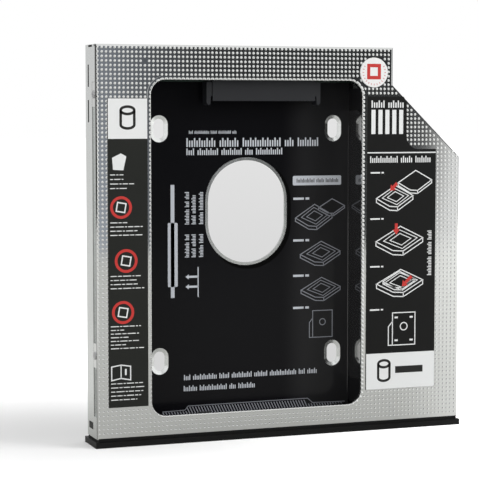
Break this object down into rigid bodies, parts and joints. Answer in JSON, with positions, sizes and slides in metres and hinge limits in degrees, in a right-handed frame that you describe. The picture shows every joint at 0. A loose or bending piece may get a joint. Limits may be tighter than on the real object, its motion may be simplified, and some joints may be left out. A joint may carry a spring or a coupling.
{
  "type": "laptop drive caddy",
  "caption": "Flat aluminium caddy that holds a 2.5 inch drive in a slimline disc-drive bay, with a windowed embossed face, connectors and a black bezel.",
  "frame": {"origin": "middle of the resting face of the bezel, under the centre of the case", "axes": "+X across the caddy to the chamfered side, +Y from the window side to the floor side, +Z from the bezel to the plug end"},
  "size_m": [0.1294, 0.0138, 0.1288],
  "materials": {
    "tray_aluminium": "satin rolled sheet",
    "face_aluminium": "embossed satin sheet",
    "film": "glossy black film",
    "rail_plastic": "moulded, matt",
    "screw_steel": "plated",
    "board": "solder mask",
    "spacer_brass": "turned",
    "connector_plastic": "moulded",
    "contact_gold": "gold plated",
    "switch_steel": "pressed shell",
    "knob_plastic": "moulded",
    "capacitor_body": "ceramic chip",
    "resistor_body": "ceramic chip",
    "light_lens": "clear lens",
    "bezel_plastic": "satin moulded",
    "label_dark": "printed sticker",
    "sticker_white": "printed sticker"
  },
  "bodies": {
    "case": {"base_tray": "tray_aluminium", "top_cover": "face_aluminium", "antistatic_film": "film", "bay_rail_left": "rail_plastic", "bay_rail_right": "rail_plastic", "rail_screws": "screw_steel", "cover_screws": "screw_steel", "circuit_board": "board", "board_spacers": "spacer_brass", "board_screws": "screw_steel", "drive_connector": "connector_plastic", "drive_contacts": "contact_gold", "laptop_connector": "connector_plastic", "laptop_contacts": "contact_gold", "switch_housing": "switch_steel", "switch_pins": "screw_steel", "board_capacitors": "capacitor_body", "board_resistors": "resistor_body", "activity_light": "light_lens", "bezel": "bezel_plastic", "left_label": "label_dark", "right_label": "label_dark", "round_sticker": "sticker_white"},
    "channel_slider": {"switch_knob": "knob_plastic"}
  },
  "joints": [
    {"name": "channel_slide", "type": "slide", "parent": "case", "child": "channel_slider", "axis": [1, 0, 0], "range_m": [0, 0.002]}
  ]
}
